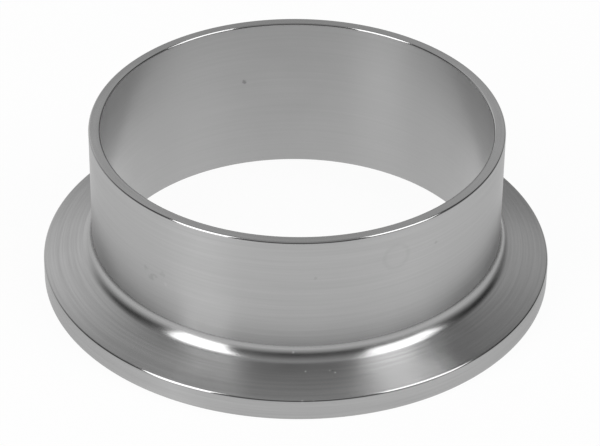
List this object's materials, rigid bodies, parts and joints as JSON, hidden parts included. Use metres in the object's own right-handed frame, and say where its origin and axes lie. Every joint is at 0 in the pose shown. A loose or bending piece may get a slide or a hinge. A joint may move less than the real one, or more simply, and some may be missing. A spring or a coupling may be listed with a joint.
{
  "type": "sanitary clamp ferrule",
  "caption": "Short stainless steel tube end with a wide clamp flange: sloped clamping face, filleted neck and a gasket groove in the sealing face.",
  "frame": {"origin": "on the ferrule's axis, in the plane of the sealing face", "axes": "+Z along the axis, from the sealing face towards the tube end that is welded"},
  "size_m": [0.064, 0.064, 0.0212],
  "materials": {
    "stainless_steel": "fine turned and satin polished stainless steel"
  },
  "bodies": {
    "root": {"ferrule": "stainless_steel"}
  },
  "joints": []
}
